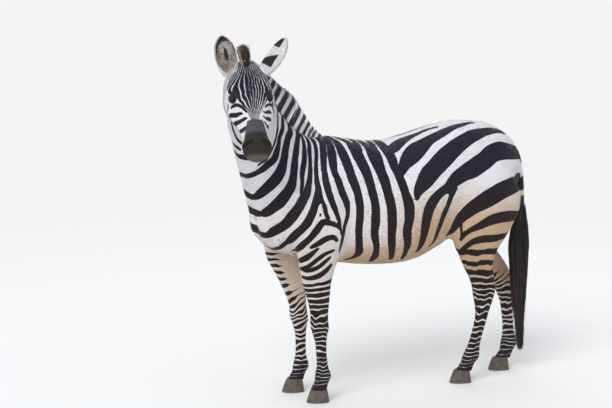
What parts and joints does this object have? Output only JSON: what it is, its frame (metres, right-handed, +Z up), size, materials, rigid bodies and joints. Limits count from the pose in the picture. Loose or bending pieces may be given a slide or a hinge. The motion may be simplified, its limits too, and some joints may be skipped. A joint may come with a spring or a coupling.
{
  "type": "zebra",
  "caption": "Still, life-size plains zebra standing on all four hooves with its head turned to its left, with striped coat, short erect mane and tufted tail.",
  "frame": {"origin": "on the ground, under the middle of the animal's bounding box", "axes": "-Y the way the trunk faces, +Y towards the tail, +X the animal's left side, +Z up; the head is turned towards +X"},
  "size_m": [0.7374, 1.7228, 1.7548],
  "materials": {
    "striped_coat": "short, close hair in black and cream stripes, soft sheen",
    "mane_hair": "stiff erect hair, banded black and cream, dark brown tips",
    "forelock_hair": "stiff dark brown hair, soft sheen",
    "tail_hair": "long black hair with reddish brown ends, soft sheen",
    "hoof_horn": "dusty grey-brown horn, matte",
    "eye": "very dark brown, wet gloss"
  },
  "bodies": {
    "root": {"ear_left": "striped_coat", "ear_right": "striped_coat", "eye_left": "eye", "eye_right": "eye", "foreleg_left_cannon": "striped_coat", "foreleg_left_forearm": "striped_coat", "foreleg_left_hoof": "hoof_horn", "foreleg_left_shoulder": "striped_coat", "foreleg_right_cannon": "striped_coat", "foreleg_right_forearm": "striped_coat", "foreleg_right_hoof": "hoof_horn", "foreleg_right_shoulder": "striped_coat", "forelock": "forelock_hair", "head": "striped_coat", "hindleg_left_cannon": "striped_coat", "hindleg_left_gaskin": "striped_coat", "hindleg_left_hoof": "hoof_horn", "hindleg_left_thigh": "striped_coat", "hindleg_right_cannon": "striped_coat", "hindleg_right_gaskin": "striped_coat", "hindleg_right_hoof": "hoof_horn", "hindleg_right_thigh": "striped_coat", "mane": "mane_hair", "neck": "striped_coat", "tail_dock": "striped_coat", "tail_switch": "tail_hair", "trunk": "striped_coat"}
  },
  "joints": []
}
